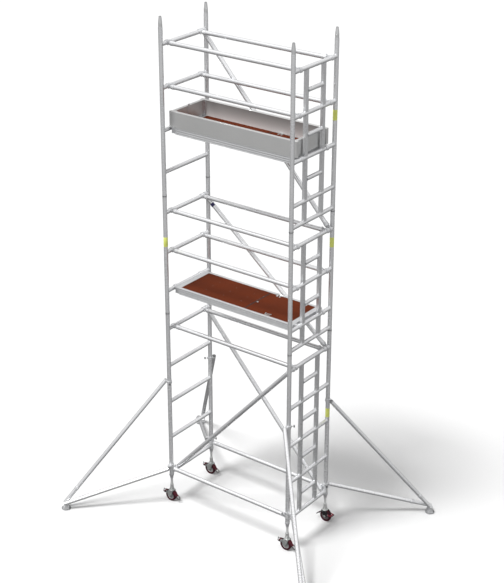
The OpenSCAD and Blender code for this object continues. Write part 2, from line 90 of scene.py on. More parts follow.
def material(name, light, dark, rough, metallic=0.0, scale=3.0, fine=60.0, bump=0.15, streaks=0.0,
             wear=0.0, wear_color=(0.75, 0.76, 0.78), coat=0.0, specular=0.5):
    """Two-tone surface: broad clouding, fine grain in colour, roughness and bump, optional die lines."""
    surface = bpy.data.materials.new(name)
    surface.use_nodes = True
    nodes, links = surface.node_tree.nodes, surface.node_tree.links
    bsdf = nodes["Principled BSDF"]
    bsdf.inputs["Metallic"].default_value = metallic
    bsdf.inputs["Specular IOR Level"].default_value = specular
    bsdf.inputs["Coat Weight"].default_value = coat
    place = nodes.new("ShaderNodeTexCoord")

    def noise(size, detail, vector=place.outputs["Object"]):
        texture = nodes.new("ShaderNodeTexNoise")
        texture.inputs["Scale"].default_value = size
        texture.inputs["Detail"].default_value = detail
        links.new(vector, texture.inputs["Vector"])
        return texture.outputs["Fac"]

    def spread(fac, from_min, from_max, to_min, to_max):
        remap = nodes.new("ShaderNodeMapRange")
        remap.inputs["From Min"].default_value = from_min
        remap.inputs["From Max"].default_value = from_max
        remap.inputs["To Min"].default_value = to_min
        remap.inputs["To Max"].default_value = to_max
        links.new(fac, remap.inputs["Value"])
        return remap.outputs["Result"]

    def mix(fac, first, second):
        blend = nodes.new("ShaderNodeMix")
        blend.data_type = "RGBA"
        for value, socket in ((fac, 0), (first, 6), (second, 7)):
            if isinstance(value, tuple):
                blend.inputs[socket].default_value = (*value, 1.0)
            else:
                links.new(value, blend.inputs[socket])
        return blend.outputs[2]

    broad = noise(scale, 5)
    grain = noise(fine, 6)
    color = mix(spread(broad, 0.35, 0.65, 0.0, 1.0), light, dark)
    shade = tuple(0.72 * v for v in dark)
    color = mix(spread(grain, 0.45, 0.75, 0.0, 0.35), color, shade)
    height = grain
    if streaks:
        lines = noise(14.0, 8, place.outputs["Normal"])
        color = mix(spread(lines, 0.4, 0.7, 0.0, streaks), color, shade)
        add = nodes.new("ShaderNodeMath")
        add.operation = "ADD"
        links.new(lines, add.inputs[0])
        links.new(spread(grain, 0.0, 1.0, 0.0, 0.4), add.inputs[1])
        height = add.outputs[0]
    if wear:
        scuffs = noise(fine * 0.45, 9)
        color = mix(spread(scuffs, 0.58, 0.70, 0.0, wear), color, wear_color)
    links.new(color, bsdf.inputs["Base Color"])
    links.new(spread(grain, 0.3, 0.7, rough - 0.06, rough + 0.06), bsdf.inputs["Roughness"])
    relief = nodes.new("ShaderNodeBump")
    relief.inputs["Strength"].default_value = bump
    relief.inputs["Distance"].default_value = GRAIN_DEPTH
    links.new(height, relief.inputs["Height"])
    links.new(relief.outputs["Normal"], bsdf.inputs["Normal"])
    return surface


def plywood(name):
    """Film-faced board: a fine raised grid on top and bottom, thin layers on the edges."""
    surface = material(name, (0.138, 0.024, 0.005), (0.108, 0.019, 0.004), 0.62, scale=2.0, fine=90.0,
                       bump=0.3, specular=0.08)
    nodes, links = surface.node_tree.nodes, surface.node_tree.links
    bsdf = nodes["Principled BSDF"]
    place = nodes.new("ShaderNodeTexCoord")
    film = bsdf.inputs["Base Color"].links[0].from_socket
    split = nodes.new("ShaderNodeSeparateXYZ")
    links.new(place.outputs["Normal"], split.inputs[0])
    upright = nodes.new("ShaderNodeMath")
    upright.operation = "ABSOLUTE"
    links.new(split.outputs["Z"], upright.inputs[0])
    edge = nodes.new("ShaderNodeMath")
    edge.operation = "LESS_THAN"
    links.new(upright.outputs[0], edge.inputs[0])
    edge.inputs[1].default_value = 0.5
    layers = nodes.new("ShaderNodeTexWave")
    layers.bands_direction = "Z"
    layers.inputs["Scale"].default_value = 160.0
    layers.inputs["Distortion"].default_value = 0.6
    links.new(place.outputs["Object"], layers.inputs["Vector"])
    ramp = nodes.new("ShaderNodeValToRGB")
    ramp.color_ramp.elements[0].color = (0.16, 0.075, 0.035, 1)
    ramp.color_ramp.elements[1].color = (0.30, 0.17, 0.09, 1)
    links.new(layers.outputs["Fac"], ramp.inputs["Fac"])
    pick = nodes.new("ShaderNodeMix")
    pick.data_type = "RGBA"
    links.new(edge.outputs[0], pick.inputs[0])
    links.new(film, pick.inputs[6])
    links.new(ramp.outputs["Color"], pick.inputs[7])
    links.new(pick.outputs[2], bsdf.inputs["Base Color"])
    grid = nodes.new("ShaderNodeTexVoronoi")
    grid.feature = "F1"
    grid.inputs["Scale"].default_value = 220.0
    grid.inputs["Randomness"].default_value = 0.0
    links.new(place.outputs["Object"], grid.inputs["Vector"])
    relief = nodes.new("ShaderNodeBump")
    relief.inputs["Strength"].default_value = 0.35
    relief.inputs["Distance"].default_value = 0.0006
    links.new(grid.outputs["Distance"], relief.inputs["Height"])
    links.new(bsdf.inputs["Normal"].links[0].from_socket, relief.inputs["Normal"])
    links.new(relief.outputs["Normal"], bsdf.inputs["Normal"])
    return surface


def graded(name, foot, head, low, high, falloff):
    """Sheet that fades from the foot colour to the head colour between two heights in metres: a painted
    reflection at the foot fading into painted shade at the head.
    """
    surface = material(name, foot, head, 0.5, 0.0, scale=2.0, fine=150.0, bump=0.2, specular=0.2)
    nodes, links = surface.node_tree.nodes, surface.node_tree.links
    place = nodes.new("ShaderNodeTexCoord")
    split = nodes.new("ShaderNodeSeparateXYZ")
    links.new(place.outputs["Object"], split.inputs[0])
    rise = nodes.new("ShaderNodeMapRange")
    rise.inputs["From Min"].default_value = low
    rise.inputs["From Max"].default_value = high
    links.new(split.outputs["Z"], rise.inputs["Value"])
    fade = nodes.new("ShaderNodeMath")
    fade.operation = "POWER"
    fade.inputs[0].default_value = falloff
    links.new(rise.outputs["Result"], fade.inputs[1])
    pick = nodes.new("ShaderNodeMix")
    pick.data_type = "RGBA"
    pick.inputs[6].default_value = (*head, 1.0)
    pick.inputs[7].default_value = (*foot, 1.0)
    links.new(fade.outputs[0], pick.inputs[0])
    links.new(pick.outputs[2], nodes["Principled BSDF"].inputs["Base Color"])
    return surface


ALU = material("extruded_aluminium", (0.86, 0.865, 0.875), (0.78, 0.785, 0.80), 0.27, 0.72,
               scale=2.2, fine=140.0, bump=0.10, streaks=0.25)
BEAM = material("ribbed_extrusion", (0.80, 0.805, 0.812), (0.73, 0.735, 0.75), 0.34, 0.8,
                scale=3.0, fine=120.0, bump=0.12, streaks=0.2)
CAST = material("cast_aluminium", (0.80, 0.805, 0.815), (0.70, 0.705, 0.72), 0.42, 0.6,
                scale=9.0, fine=260.0, bump=0.4, wear=0.4)
WELD = material("weld_bead", (0.76, 0.77, 0.79), (0.60, 0.605, 0.62), 0.38, 0.75,
                scale=40.0, fine=420.0, bump=0.5)
SPIGOT = material("spigot_steel", (0.72, 0.725, 0.73), (0.60, 0.605, 0.61), 0.32, 0.7,
                  scale=8.0, fine=200.0, bump=0.15)
ZINC = material("zinc_plate", (0.62, 0.63, 0.62), (0.46, 0.475, 0.47), 0.34, 0.75,
                scale=14.0, fine=300.0, bump=0.25, wear=0.4)
SCREW = material("plated_thread", (0.70, 0.705, 0.70), (0.56, 0.565, 0.56), 0.32, 0.75,
                 scale=12.0, fine=240.0, bump=0.2, wear=0.4)
NUT = material("cast_nut", (0.72, 0.72, 0.735), (0.58, 0.58, 0.60), 0.42, 0.6,
               scale=14.0, fine=260.0, bump=0.35, wear=0.4)
FORK = material("pressed_steel", (0.42, 0.43, 0.42), (0.28, 0.29, 0.285), 0.42, 0.65,
                scale=16.0, fine=260.0, bump=0.3, wear=0.6)
BLACK = material("black_steel", (0.014, 0.012, 0.013), (0.008, 0.007, 0.008), 0.46, 0.0,
                 scale=18.0, fine=280.0, bump=0.3, wear=0.25, wear_color=(0.16, 0.15, 0.15),
                 specular=0.25)
RED = material("red_coating", (0.40, 0.010, 0.045), (0.26, 0.007, 0.026), 0.40, 0.0,
               scale=20.0, fine=260.0, bump=0.25, wear=0.25, wear_color=(0.50, 0.30, 0.32), coat=0.2)
WINE = material("wine_coating", (0.105, 0.006, 0.016), (0.060, 0.004, 0.010), 0.50, 0.0,
                scale=20.0, fine=260.0, bump=0.25, wear=0.2, wear_color=(0.30, 0.18, 0.20), specular=0.25)
TYRE = material("tyre_rubber", (0.060, 0.006, 0.014), (0.036, 0.004, 0.009), 0.62, 0.0,
                scale=18.0, fine=320.0, bump=0.4, specular=0.2)
# mauve moulded hub darkened with painted shade, used on the turned castor only
HUB_PAINTED_SHADE = material("moulded_hub_painted_shade", (0.20, 0.175, 0.175), (0.13, 0.11, 0.11), 0.5, 0.0,
               scale=20.0, fine=300.0, bump=0.25)
PAD = material("moulded_pad", (0.32, 0.325, 0.33), (0.23, 0.235, 0.24), 0.6, 0.0,
               scale=12.0, fine=300.0, bump=0.4)
BOARD = material("toe_board_paint", (0.70, 0.70, 0.695), (0.65, 0.65, 0.645), 0.34, 0.7,
                 scale=1.6, fine=150.0, bump=0.2)
DARK = material("dark_clip", (0.10, 0.10, 0.105), (0.06, 0.06, 0.065), 0.4, 0.5,
                scale=30.0, fine=320.0, bump=0.25)
GREY = material("grey_trigger", (0.62, 0.63, 0.65), (0.52, 0.53, 0.55), 0.45, 0.0,
                scale=20.0, fine=300.0, bump=0.2)
BLUE = material("blue_trigger", (0.020, 0.014, 0.130), (0.012, 0.008, 0.080), 0.4, 0.0,
                scale=20.0, fine=300.0, bump=0.2)
LABEL = material("plain_label", (0.88, 0.94, 0.24), (0.82, 0.88, 0.20), 0.5, 0.0,
                 scale=10.0, fine=200.0, bump=0.1)
# colours for the inside of the long toe boards: near-white painted reflection at the deck, near-black
# painted shade at the top
GLOW_AND_SHADE_SHEET = graded("toe_board_painted_glow_and_shade", (0.93, 0.925, 0.92), (0.035, 0.024, 0.020),
               DECKS["upper"] / MM, TOE_TOP / MM, 0.22)
PLY = plywood("film_faced_plywood")


# ------------------------------------------------------------------ mesh building
def spot(x=0.0, y=0.0, z=0.0, **turns):
    """Translation followed by rotations in degrees about the named axes, in the order given."""
    m = Matrix.Translation((x, y, z))
    for axis, angle in turns.items():
        m = m @ Matrix.Rotation(math.radians(angle), 4, axis[-1].upper())
    return m


def arc(r, a0, a1, n, cx=0.0, cy=0.0):
    """Points of an arc about (cx, cy), from angle a0 to a1 in degrees, in n steps."""
    return [(cx + r * math.cos(math.radians(a0 + (a1 - a0) * i / n)),
             cy + r * math.sin(math.radians(a0 + (a1 - a0) * i / n))) for i in range(n + 1)]


class Shape:
    """Collects mesh pieces, drawn in millimetres, in one object."""

    def __init__(self, at=Matrix.Identity(4)):
        self.bm = bmesh.new()
        self.mats = []
        self.at = at

    def _mat(self, mat):
        if mat not in self.mats:
            self.mats.append(mat)
        return self.mats.index(mat)

    def _verts(self, points, at):
        m = self.at @ at
        return [self.bm.verts.new(m @ Vector(p) / MM) for p in points]

    def _face(self, verts, i, smooth=True):
        try:
            f = self.bm.faces.new(verts)
        except ValueError:
            return
        f.material_index = i
        f.smooth = smooth

    def lathe(self, profile, mat, at=Matrix.Identity(4), seg=32, loop=False):
        """Profile of (radius, height) turned about Z; a zero radius closes to a point."""
        i = self._mat(mat)
        rings = []
        for r, z in profile:
            if r < 1e-6:
                rings.append(self._verts([(0, 0, z)], at))
            else:
                rings.append(self._verts(
                    [(r * math.cos(2 * math.pi * k / seg), r * math.sin(2 * math.pi * k / seg), z)
                     for k in range(seg)], at))
        pairs = list(zip(rings, rings[1:] + rings[:1]))
        for a, b in pairs if loop else pairs[:-1]:
            for k in range(seg):
                j = (k + 1) % seg
                if len(a) == 1 and len(b) > 1:
                    self._face([a[0], b[j], b[k]], i)
                elif len(b) == 1 and len(a) > 1:
                    self._face([a[k], a[j], b[0]], i)
                elif len(a) > 1:
                    self._face([a[k], a[j], b[j], b[k]], i)

    def prism(self, poly, depth, mat, at=Matrix.Identity(4)):
        """Polygon in XY, centred on Z, given anticlockwise."""
        i = self._mat(mat)
        low = self._verts([(x, y, -depth / 2) for x, y in poly], at)
        top = self._verts([(x, y, depth / 2) for x, y in poly], at)
        n = len(poly)
        self._face(top, i)
        self._face(low[::-1], i)
        for k in range(n):
            j = (k + 1) % n
            self._face([low[k], low[j], top[j], top[k]], i)

    def block(self, a, b, mat, at=Matrix.Identity(4)):
        """Box between two opposite corners, the lower one first."""
        (x0, y0, z0), (x1, y1, z1) = a, b
        self.prism([(x0, y0), (x1, y0), (x1, y1), (x0, y1)], z1 - z0, mat,
                   at @ Matrix.Translation((0, 0, (z0 + z1) / 2)))

    def sweep(self, path, radius, mat, at=Matrix.Identity(4), seg=10, loop=False, ripple=0.0):
        """Round bar along a path of points; ripple swells every second ring, as a weld bead does."""
        i = self._mat(mat)
        path = [Vector(p) for p in path]
        n = len(path)
        rings = []
        side = None
        for k, p in enumerate(path):
            a = path[(k - 1) % n] if loop or k else path[k]
            b = path[(k + 1) % n] if loop or k < n - 1 else path[k]
            d = (b - a).normalized()
            if side is None:
                side = d.orthogonal().normalized()
            side = (side - d * side.dot(d)).normalized()
            up = d.cross(side)
            r = radius * (1 + ripple * (k % 2))
            rings.append(self._verts(
                [p + side * r * math.cos(2 * math.pi * s / seg)
                 + up * r * math.sin(2 * math.pi * s / seg) for s in range(seg)], at))
        pairs = list(zip(rings, rings[1:] + rings[:1]))
        for a, b in pairs if loop else pairs[:-1]:
            for s in range(seg):
                j = (s + 1) % seg
                self._face([a[s], a[j], b[j], b[s]], i)
        if not loop:
            self._face(rings[0][::-1], i)
            self._face(rings[-1], i)

    def done(self, name, body, replaces=(), bevel=0.0, angle=32):
        """Make the object, ride it on its body, and round edges sharper than angle in degrees."""
        mesh = bpy.data.meshes.new(name)
        bmesh.ops.recalc_face_normals(self.bm, faces=self.bm.faces)
        self.bm.to_mesh(mesh)
        self.bm.free()
        for m in self.mats:
            mesh.materials.append(m)
        mesh.set_sharp_from_angle(angle=math.radians(angle))
        o = bpy.data.objects.new(name, mesh)
        bpy.context.scene.collection.objects.link(o)
        if bevel:
            rounding = o.modifiers.new("soft_edges", "BEVEL")
            rounding.width = bevel / MM
            rounding.segments = 2
            rounding.limit_method = "ANGLE"
            rounding.angle_limit = math.radians(angle)
            rounding.harden_normals = True
        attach(o, body)
        if replaces:
            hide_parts(*replaces)


# TO_X and TO_Y point a shape's Z axis along X or Y, and XZ stands a polygon up in the XZ plane
TO_X = Matrix(((0, 0, 1, 0), (1, 0, 0, 0), (0, 1, 0, 0), (0, 0, 0, 1)))
TO_Y = Matrix(((0, 1, 0, 0), (0, 0, 1, 0), (1, 0, 0, 0), (0, 0, 0, 1)))
XZ = Matrix(((1, 0, 0, 0), (0, 0, -1, 0), (0, 1, 0, 0), (0, 0, 0, 1)))


def bolt(shape, at, r, h):
    """Hexagon head on a washer, standing on +Z."""
    shape.lathe([(0, 0), (r * 1.45, 0), (r * 1.45, 1.4), (r * 1.15, 1.6)], ZINC, at, 20)
    shape.prism([(r * math.cos(math.radians(60 * k)), r * math.sin(math.radians(60 * k)))
                 for k in range(6)], h, ZINC, at @ spot(z=1.4 + h / 2))


def rivet(shape, at, r, mat=ZINC):
    """Low domed head, standing on +Z."""
    shape.lathe([(r, -0.4), (r, r * 0.25), (r * 0.75, r * 0.55), (r * 0.35, r * 0.72), (0, r * 0.78)],
                mat, at, 14)


def band(shape, r0, r1, height, a0, a1, mat, at):
    """Part ring between two radii, from angle a0 to a1, centred on Z."""
    steps = 28
    shape.prism(arc(r1, a0, a1, steps) + arc(r0, a1, a0, steps), height, mat, at)


# ------------------------------------------------------------------ CAD nodes shown with their own mesh
def softened(node, mat, body, bevel):
    """The CAD node's own shape with its flat faces joined and its sharp edges rounded."""
    bm = bmesh.new()
    bm.from_mesh(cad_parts[node].data)
    bmesh.ops.remove_doubles(bm, verts=bm.verts, dist=0.00001)
    bmesh.ops.dissolve_limit(bm, angle_limit=math.radians(1), verts=bm.verts, edges=bm.edges)
    sharp = [e for e in bm.edges if len(e.link_faces) == 2 and e.calc_face_angle(0) > math.radians(38)]
    bmesh.ops.bevel(bm, geom=sharp, offset=bevel / MM, segments=2, profile=0.5, affect="EDGES",
                    clamp_overlap=True)
    for f in bm.faces:
        f.smooth = True
        f.material_index = 0
    mesh = bpy.data.meshes.new(node + "_finished")
    bm.to_mesh(mesh)
    bm.free()
    mesh.materials.append(mat)
    mesh.set_sharp_from_angle(angle=math.radians(38))
    o = bpy.data.objects.new(mesh.name, mesh)
    bpy.context.scene.collection.objects.link(o)
    o.modifiers.new("flat_faces", "WEIGHTED_NORMAL").keep_sharp = True
    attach(o, body)
    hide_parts(node)


def finish_node(node, mat):
    """Give a CAD node that is shown as it is its own surface."""
    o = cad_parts[node]
    o.data.materials.clear()
    o.data.materials.append(mat)


for part in ("bottom", "middle", "top"):
    finish_node("span_frame_" + part, ALU)
    finish_node("ladder_frame_" + part, ALU)
for node in ("rails_guard_top", "rails_knee_top", "rails_guard_middle", "rails_knee_middle",
             "rails_lower", "ledgers_base", "diagonals_back", "diagonal_front"):
    finish_node(node, ALU)
finish_node("frame_spigots", SPIGOT)
softened("brace_hooks", CAST, "tower", 1.4)
softened("platform_hooks", CAST, "tower", 1.4)
softened("trapdoor_hinges", ZINC, "tower", 0.5)
softened("toe_boards", BOARD, "tower", 2.5)
softened("toe_board_clips", BEAM, "tower", 1.2)
for deck in DECKS:
    softened("deck_%s_ply" % deck, PLY, "tower", 1.0)
    softened("trapdoor_" + deck, PLY, "trapdoor_" + deck, 1.0)
    softened("trapdoor_fittings_" + deck, ZINC, "trapdoor_" + deck, 0.5)
    softened("trapdoor_handle_" + deck, ZINC, "handle_" + deck, 0.9)
for corner in CORNERS:
    softened("stabiliser_" + corner, ALU, "stabiliser_" + corner, 0.8)


# ------------------------------------------------------------------ welds, rivets, clips and labels
def frame_welds():
    """Weld beads where rungs meet the uprights and the two ladder stiles."""
    shape = Shape()
    turn = [2 * math.pi * k / 32 for k in range(32)]

    def rung_weld(x, y, z):
        path = []
        for t in turn:
            dx = RUNG * math.cos(t)
            inward = math.copysign(math.sqrt(TUBE ** 2 - dx ** 2), y)
            path.append((x + dx, y - inward, z + RUNG * math.sin(t)))
        shape.sweep(path, 2.3, WELD, seg=6, loop=True, ripple=0.4)

    def stile_weld(y, z, side):
        xs = [STILE_D / 2 * (1 - k / 4) for k in range(9)]
        rise = [z + side * math.sqrt(RUNG ** 2 - x * x) for x in xs]
        path = [(BAY + x, y + STILE_W / 2, h) for x, h in zip(xs, rise)]
        path += [(BAY - x, y - STILE_W / 2, h) for x, h in zip(xs, rise)]
        shape.sweep(path, 2.2, WELD, seg=6, loop=True, ripple=0.4)

    for k in range(12):
        for sy in (-1, 1):
            rung_weld(-BAY, sy * WIDE, level(k))
    for levels in ([0, 1, 2, 3, 4], [4.5, 5, 6, 7], [7.5, 8, 9, 10, 11]):
        for sy in (-1, 1):
            for k in levels:
                rung_weld(BAY, sy * WIDE, level(k))
            for k0, k1 in zip(levels, levels[1:]):
                stile_weld(sy * STILE_Y, level(k0), 1)
                stile_weld(sy * STILE_Y, level(k1), -1)
                if k1 - k0 == 1:
                    y = sy * (STILE_Y - STILE_W / 2)
                    shape.sweep([(BAY + RUNG * math.cos(t), y, level(k0 + 0.5) + RUNG * math.sin(t))
                                 for t in turn], 2.2, WELD, seg=6, loop=True, ripple=0.4)
    shape.done("frame_welds", "tower", angle=60)


def frame_rivets():
    """Rivets that hold the spigots, two to each side of every joint."""
    shape = Shape()
    for sx, sy, _ in CORNERS.values():
        for z in (JOINT_1 - 100, JOINT_1 - 60, JOINT_2 - 100, JOINT_2 - 60, TUBE_TOP - 110, TUBE_TOP - 60):
            for side in (0, 180):
                turn = spot(sx * BAY, sy * WIDE, z, rz=side)
                rivet(shape, turn @ spot(x=TUBE) @ TO_X, 4.5, ALU)
    shape.done("frame_rivets", "tower")


def interlock_clips():
    """Spring bands whose button passes through tube and spigot."""
    shape = Shape()
    for sx, sy, _ in CORNERS.values():
        for z in (JOINT_1, JOINT_2):
            at = spot(sx * BAY, sy * WIDE, z + 12)
            band(shape, TUBE + 0.15, TUBE + 2.1, 8, 100, 440, DARK, at)
            for a in (101, 79):
                shape.lathe([(0, -4), (2.2, -4), (2.2, 4), (0, 4)], DARK,
                            at @ spot(rz=a) @ spot(x=TUBE + 2.2), 12)
            shape.lathe([(6.5, 0), (6.5, 3.4), (5.6, 4.5), (3.4, 4.8), (3.2, 6.2), (2.4, 6.8), (0, 6.9)],
                        DARK, at @ spot(y=-TUBE - 1.6) @ XZ, 24)
    shape.done("interlock_clip_bands", "tower", ["interlock_clips"], 0.4)


def labels():
    """Plain coloured bands wrapped round the uprights, with nothing on them."""
    shape = Shape()
    for x, y, drop in ((-BAY, -WIDE, 2360), (BAY, WIDE, 660), (BAY, WIDE, 2170), (BAY, WIDE, 4390)):
        z = TOP_RUNG - drop
        r = TUBE + 0.3
        shape.lathe([(TUBE - 0.2, z - 60), (r - 0.1, z - 60), (r, z - 59.8), (r, z + 59.8),
                     (r - 0.1, z + 60), (TUBE - 0.2, z + 60)], LABEL, spot(x, y), 48, loop=True)
    shape.done("plain_labels", "tower")


frame_welds()
frame_rivets()
interlock_clips()
labels()


# ------------------------------------------------------------------ brace hooks
def hook_places():
    """Frame and kind of every brace hook: the shank runs along +X and the claw lies across Y."""
    flip = Matrix.Scale(-1, 4, (1, 0, 0))
    runs = [(sy * RAIL_Y, level(k), level(k)) for k in (4, 6, 7, 10, 11) for sy in (-1, 1)]
    runs += [(DIAG_Y, level(11), level(7)), (DIAG_Y, level(7), level(4)),
             (DIAG_Y, level(4), level(0)), (-DIAG_Y, level(0), level(4))]
    for y, z0, z1 in runs:
        tilt = math.degrees(math.atan2(z1 - z0, 2 * BAY))
        kind = "tabbed" if (y, z0) == (DIAG_Y, level(7)) else "plain"
        yield spot(-BAY, y, z0, ry=-tilt), kind
        yield spot(BAY, y, z1, ry=-tilt) @ flip, "plain"
    for sx, sy, _ in CORNERS.values():
        at = spot(sx * BAY, sy * WIDE, LEDGER_Z)
        yield (at @ flip if sx > 0 else at) @ spot(rx=90), "ledger"


def hook_sockets():
    """Socket crimped and riveted behind each claw, nearly flush where a stabiliser swings past."""
    shape = Shape()
    r = TUBE
    outline = [(-0.5, 51), (2.4, 51), (3.4, 52), (3.4, 60), (2.2, 62), (2.2, 66), (3.4, 68), (3.4, 78),
               (2.2, 80), (2.2, 84), (3.0, 86), (3.0, 90), (1.2, 92), (-0.5, 92)]
    for at, kind in hook_places():
        swell = 0.25 if kind == "ledger" else 1.0
        shape.lathe([(r + swell * d, x) for d, x in outline], CAST, at @ TO_X, 36, loop=True)
        for side in (90, -90):
            if kind != "ledger":
                rivet(shape, at @ spot(rx=side) @ spot(x=73, z=r + 3.2), 4.2)
            rivet(shape, at @ spot(rx=side) @ spot(x=38, z=19), 5.0)
    shape.done("hook_sockets", "tower", angle=28)


def hook_triggers():
    """Sprung thumb trigger on each shank; one diagonal also carries a plain coloured tab."""
    shape = Shape()
    lever = [(33, 16.5), (50, 16.5), (53, 20), (58, 29), (63, 36), (60, 39), (54, 36), (48, 29),
             (42, 27), (34, 26), (31, 22)]
    stub = [(33, 16.5), (52, 16.5), (52, 22), (48, 25.5), (38, 25.5), (33, 22)]
    for at, kind in hook_places():
        shape.prism(stub if kind == "ledger" else lever, 13, GREY, at @ XZ)
        for z in () if kind == "ledger" else (31, 34, 37):
            shape.block((z + 20, -6.5, z - 1.5), (z + 21.2, 6.5, z + 0.6), GREY, at)
        if kind == "tabbed":
            band(shape, TUBE + 0.1, TUBE + 4.0, 40, 100, 235, BLUE, at @ TO_X @ spot(z=158))
        for side in (90, -90):
            rivet(shape, at @ spot(x=40, z=21.5) @ spot(rx=side) @ spot(z=6.4), 3.4)
    shape.done("hook_trigger_levers", "tower", ["brace_triggers"], 0.9)


hook_sockets()
hook_triggers()


# ------------------------------------------------------------------ platforms
# distances from the tower's centre: across it for side beams and hooks, along it for the ends
BEAM_IN, BEAM_OUT, BEAM_END, FRAME_END = 263.0, 300.0, 800.0, 855.0
LEDGE_IN, BOARD_HALF, BOARD_END, HOOK_Y = 247.0, 262.0, 790.0, 235.0
# depths below the deck
BEAM_DEPTH, END_DEPTH, MEMBER_DEPTH = 78.0, 70.0, 60.0
PLY_UNDER, LEDGE_UNDER = 12.3, 16.3    # top and underside of the ledge that carries the boards
TRAP_X = corners("trapdoor_upper")[0].x
SEAM_HALF = 250.0    # half length of the dark sealing strips between the two boards
CROSS_XS = (-520, -260, 0, TRAP_X - 24)    # centres of the cross members


def ribbed(face, top, depth):
    """Outer face of an extrusion: a flange at both edges and shallow ribs every 25 mm between."""
    marks = [(0, 0), (9, 0)]
    h = 10
    while h + 24 < depth - 8:
        marks += [(h, 3.5), (h + 12, 3.5), (h + 13.5, 0.8), (h + 23.5, 0.8)]
        h += 25
    marks += [(h, 3.5), (depth - 9, 3.5), (depth - 8, 0), (depth, 0)]
    return [(face - d, top - h) for h, d in marks]


def platform_frame(deck, top):
    """Ribbed side and end beams, the members and strips at both ends, and the cross members."""
    shape = Shape()
    for side in (-1, 1):
        section = [(side * y, z) for y, z in ribbed(BEAM_OUT, top, BEAM_DEPTH) + [
            (BEAM_IN, top - BEAM_DEPTH), (BEAM_IN, top - LEDGE_UNDER), (LEDGE_IN, top - LEDGE_UNDER),
            (LEDGE_IN, top - PLY_UNDER), (BEAM_IN, top - PLY_UNDER), (BEAM_IN, top)]]
        shape.prism(section, 2 * BEAM_END, BEAM, TO_X)
        section = [(side * x, z) for x, z in ribbed(FRAME_END, top, END_DEPTH) + [
            (BEAM_END + 0.1, top - END_DEPTH), (BEAM_END + 0.1, top)]]
        shape.prism(section, 2 * BEAM_OUT, BEAM, XZ)
        for x0, z0, z1 in ((BEAM_END - 34, top - MEMBER_DEPTH, top - LEDGE_UNDER - 0.1),
                           (BOARD_END + 1, top - PLY_UNDER + 0.1, top)):
            lo_x, hi_x = sorted((side * x0, side * (BEAM_END - 0.1)))
            shape.block((lo_x, -BOARD_HALF, z0), (hi_x, BOARD_HALF, z1), BEAM)
        for x in (-783, *CROSS_XS, 783):
            for z in (16, 64.5):
                rivet(shape, spot(x, side * (BEAM_OUT - 3.5), top - z, rx=-90 * side), 3.8)
    for x in CROSS_XS:
        section = [(x - 20, top - MEMBER_DEPTH), (x + 20, top - MEMBER_DEPTH),
                   (x + 20, top - LEDGE_UNDER - 0.1), (x - 20, top - LEDGE_UNDER - 0.1)]
        shape.prism(section, 2 * BEAM_IN - 0.4, BEAM, XZ)
    shape.done("platform_frame_%s_profiles" % deck, "tower",
               ["platform_frame_" + deck], 0.8)


def platform_fixings(deck, top):
    """Hook plates with their bolts, the fixed board's screws and its sealing strip."""
    shape = Shape()
    for sx in (-1, 1):
        for y in (-HOOK_Y, HOOK_Y):
            lo_x, hi_x = sorted((sx * FRAME_END, sx * (FRAME_END + 3)))
            shape.block((lo_x, y - 32, top - 68), (hi_x, y + 32, top - 4), CAST)
            for dy in (-25, 25):
                for z in (14, 58):
                    seat = spot(sx * (FRAME_END + 2.8), y + dy, top - z, rz=0 if sx > 0 else 180)
                    bolt(shape, seat @ TO_X, 5.0, 3.6)
    for x in (-776, -520, -260, 0, TRAP_X - 12):
        for y in (-254, -127, 0, 127, 254):
            shape.lathe([(3.4, -1), (3.4, 0.2), (2.8, 0.6), (1.3, 0.8), (1.0, 0.4), (0, 0.3)], FORK,
                        spot(x, y, top), 14)
    shape.block((TRAP_X - 9, -SEAM_HALF, top - 1), (TRAP_X - 2.6, SEAM_HALF, top + 0.3), BLACK)
    shape.done("platform_fixings_" + deck, "tower", bevel=0.2)


def trapdoor_screws(deck, top):
    """Hinge leaf screws, the rim of the catch and the trapdoor's sealing strip."""
    shape = Shape()
    low, high = corners("trapdoor_" + deck)
    for x in (low.x + 130, high.x - 130):
        for side in (-20, 20):
            for y in (224, 244):
                shape.lathe([(3.4, -0.5), (3.4, 0.3), (2.6, 0.9), (1.2, 1.0), (0, 0.5)], ZINC,
                            spot(x + side, y, top + 2), 14)
    shape.lathe([(11.4, 3.9), (10.8, 4.5), (4, 4.7), (3.4, 4.2), (0, 4.1)], ZINC,
                spot(low.x + 24, -36, top), 28)
    shape.block((TRAP_X + 0.6, -SEAM_HALF, top - 1), (TRAP_X + 7, SEAM_HALF, top + 0.3), BLACK)
    shape.done("trapdoor_screws_" + deck, "trapdoor_" + deck)


for deck, top in DECKS.items():
    platform_frame(deck, top)
    platform_fixings(deck, top)
    trapdoor_screws(deck, top)


TOE_END_IN, STRAP_Y = 832.0, -20.0    # inner face of the short boards, centre of their straps


def toe_board_bolts():
    """Bolts of the corner angles and middle straps, and a thin sheet inside the long boards with a painted
    reflection near the deck and painted shade near the top.
    """
    shape = Shape()
    base = DECKS["upper"]
    for side in (-1, 1):
        lo_y, hi_y = sorted((side * (BOARD_HALF - 0.3), side * (BOARD_HALF + 0.2)))
        # thin sheet over each long board's inner face, carrying the painted reflection and painted shade
        shape.block((1 - BEAM_END, lo_y, base + 1.5), (BEAM_END - 1, hi_y, TOE_TOP - 2.5), GLOW_AND_SHADE_SHEET)
    for sx in (-1, 1):
        inward = 180 if sx > 0 else 0
        for z in (base + 40, base + 105, base + 165):
            bolt(shape, spot(sx * (TOE_END_IN - 6), STRAP_Y, z, rz=inward) @ TO_X, 4.0, 3.2)
            for sy in (-1, 1):
                bolt(shape, spot(sx * (TOE_END_IN - 16), sy * (BOARD_HALF - 3), z, rx=90 * sy), 4.0, 3.2)
                seat = spot(sx * (TOE_END_IN - 3), sy * (BOARD_HALF - 19), z, rz=inward)
                bolt(shape, seat @ TO_X, 4.0, 3.2)
    shape.done("toe_board_bolts", "tower", bevel=0.3)


